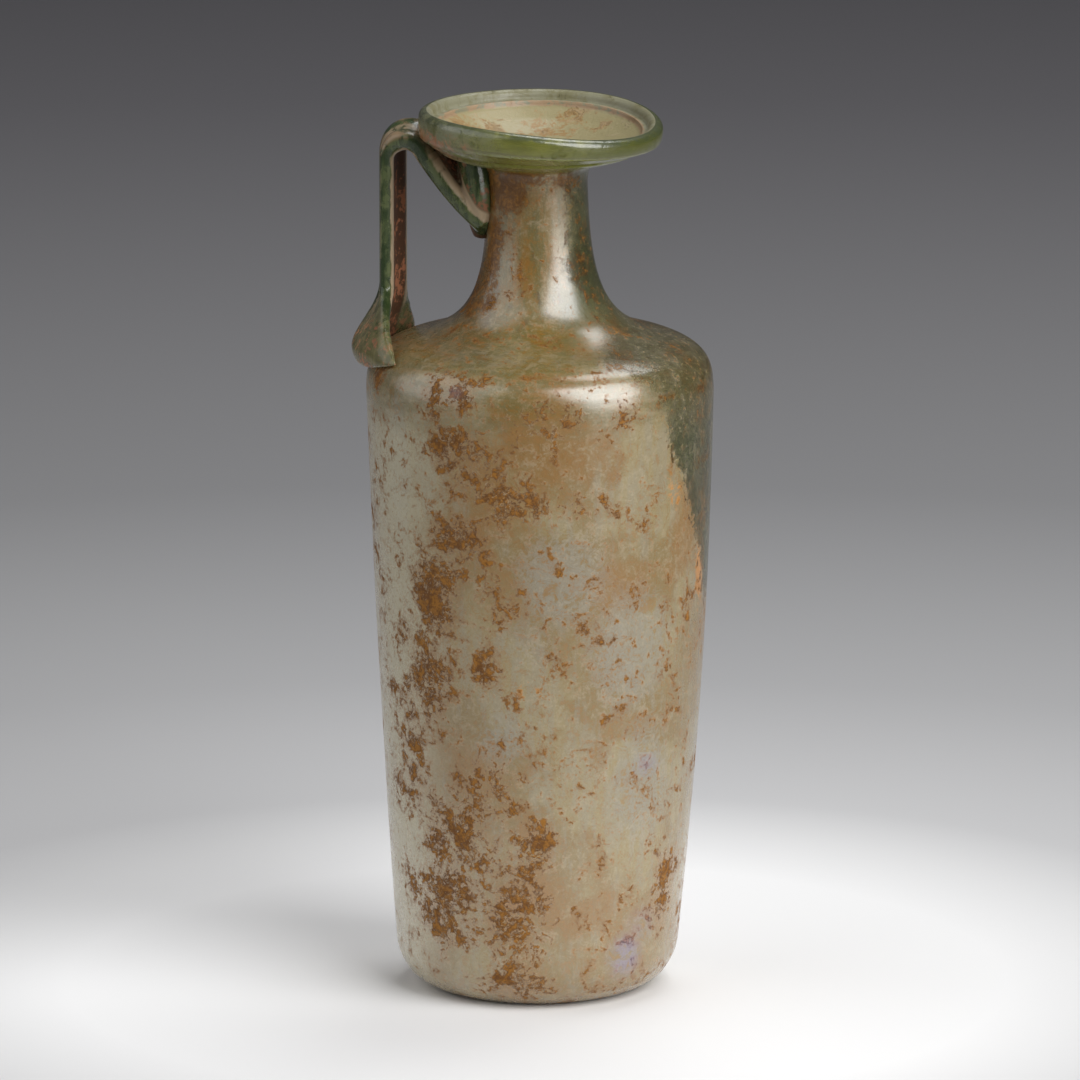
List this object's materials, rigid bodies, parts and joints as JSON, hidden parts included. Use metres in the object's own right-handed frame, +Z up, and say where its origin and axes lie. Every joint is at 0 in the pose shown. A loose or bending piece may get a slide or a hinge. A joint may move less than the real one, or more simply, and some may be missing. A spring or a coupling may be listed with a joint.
{
  "type": "glass perfume flask",
  "caption": "Tall blown-glass perfume flask with a narrow neck, a dished folded rim and a ribbed strap handle from shoulder to neck.",
  "frame": {"origin": "middle of the flat underside that the flask stands on", "axes": "+Z up along the body; the strap handle is on the -X side"},
  "size_m": [0.0811, 0.0778, 0.1998],
  "materials": {
    "weathered_glass": "pale green blown glass under a satin beige weathering film with rust brown patches and a clear area",
    "green_glass": "glossy green glass with cream and brown soil in its grooves"
  },
  "bodies": {
    "root": {"vessel": "weathered_glass", "handle": "green_glass"}
  },
  "joints": []
}
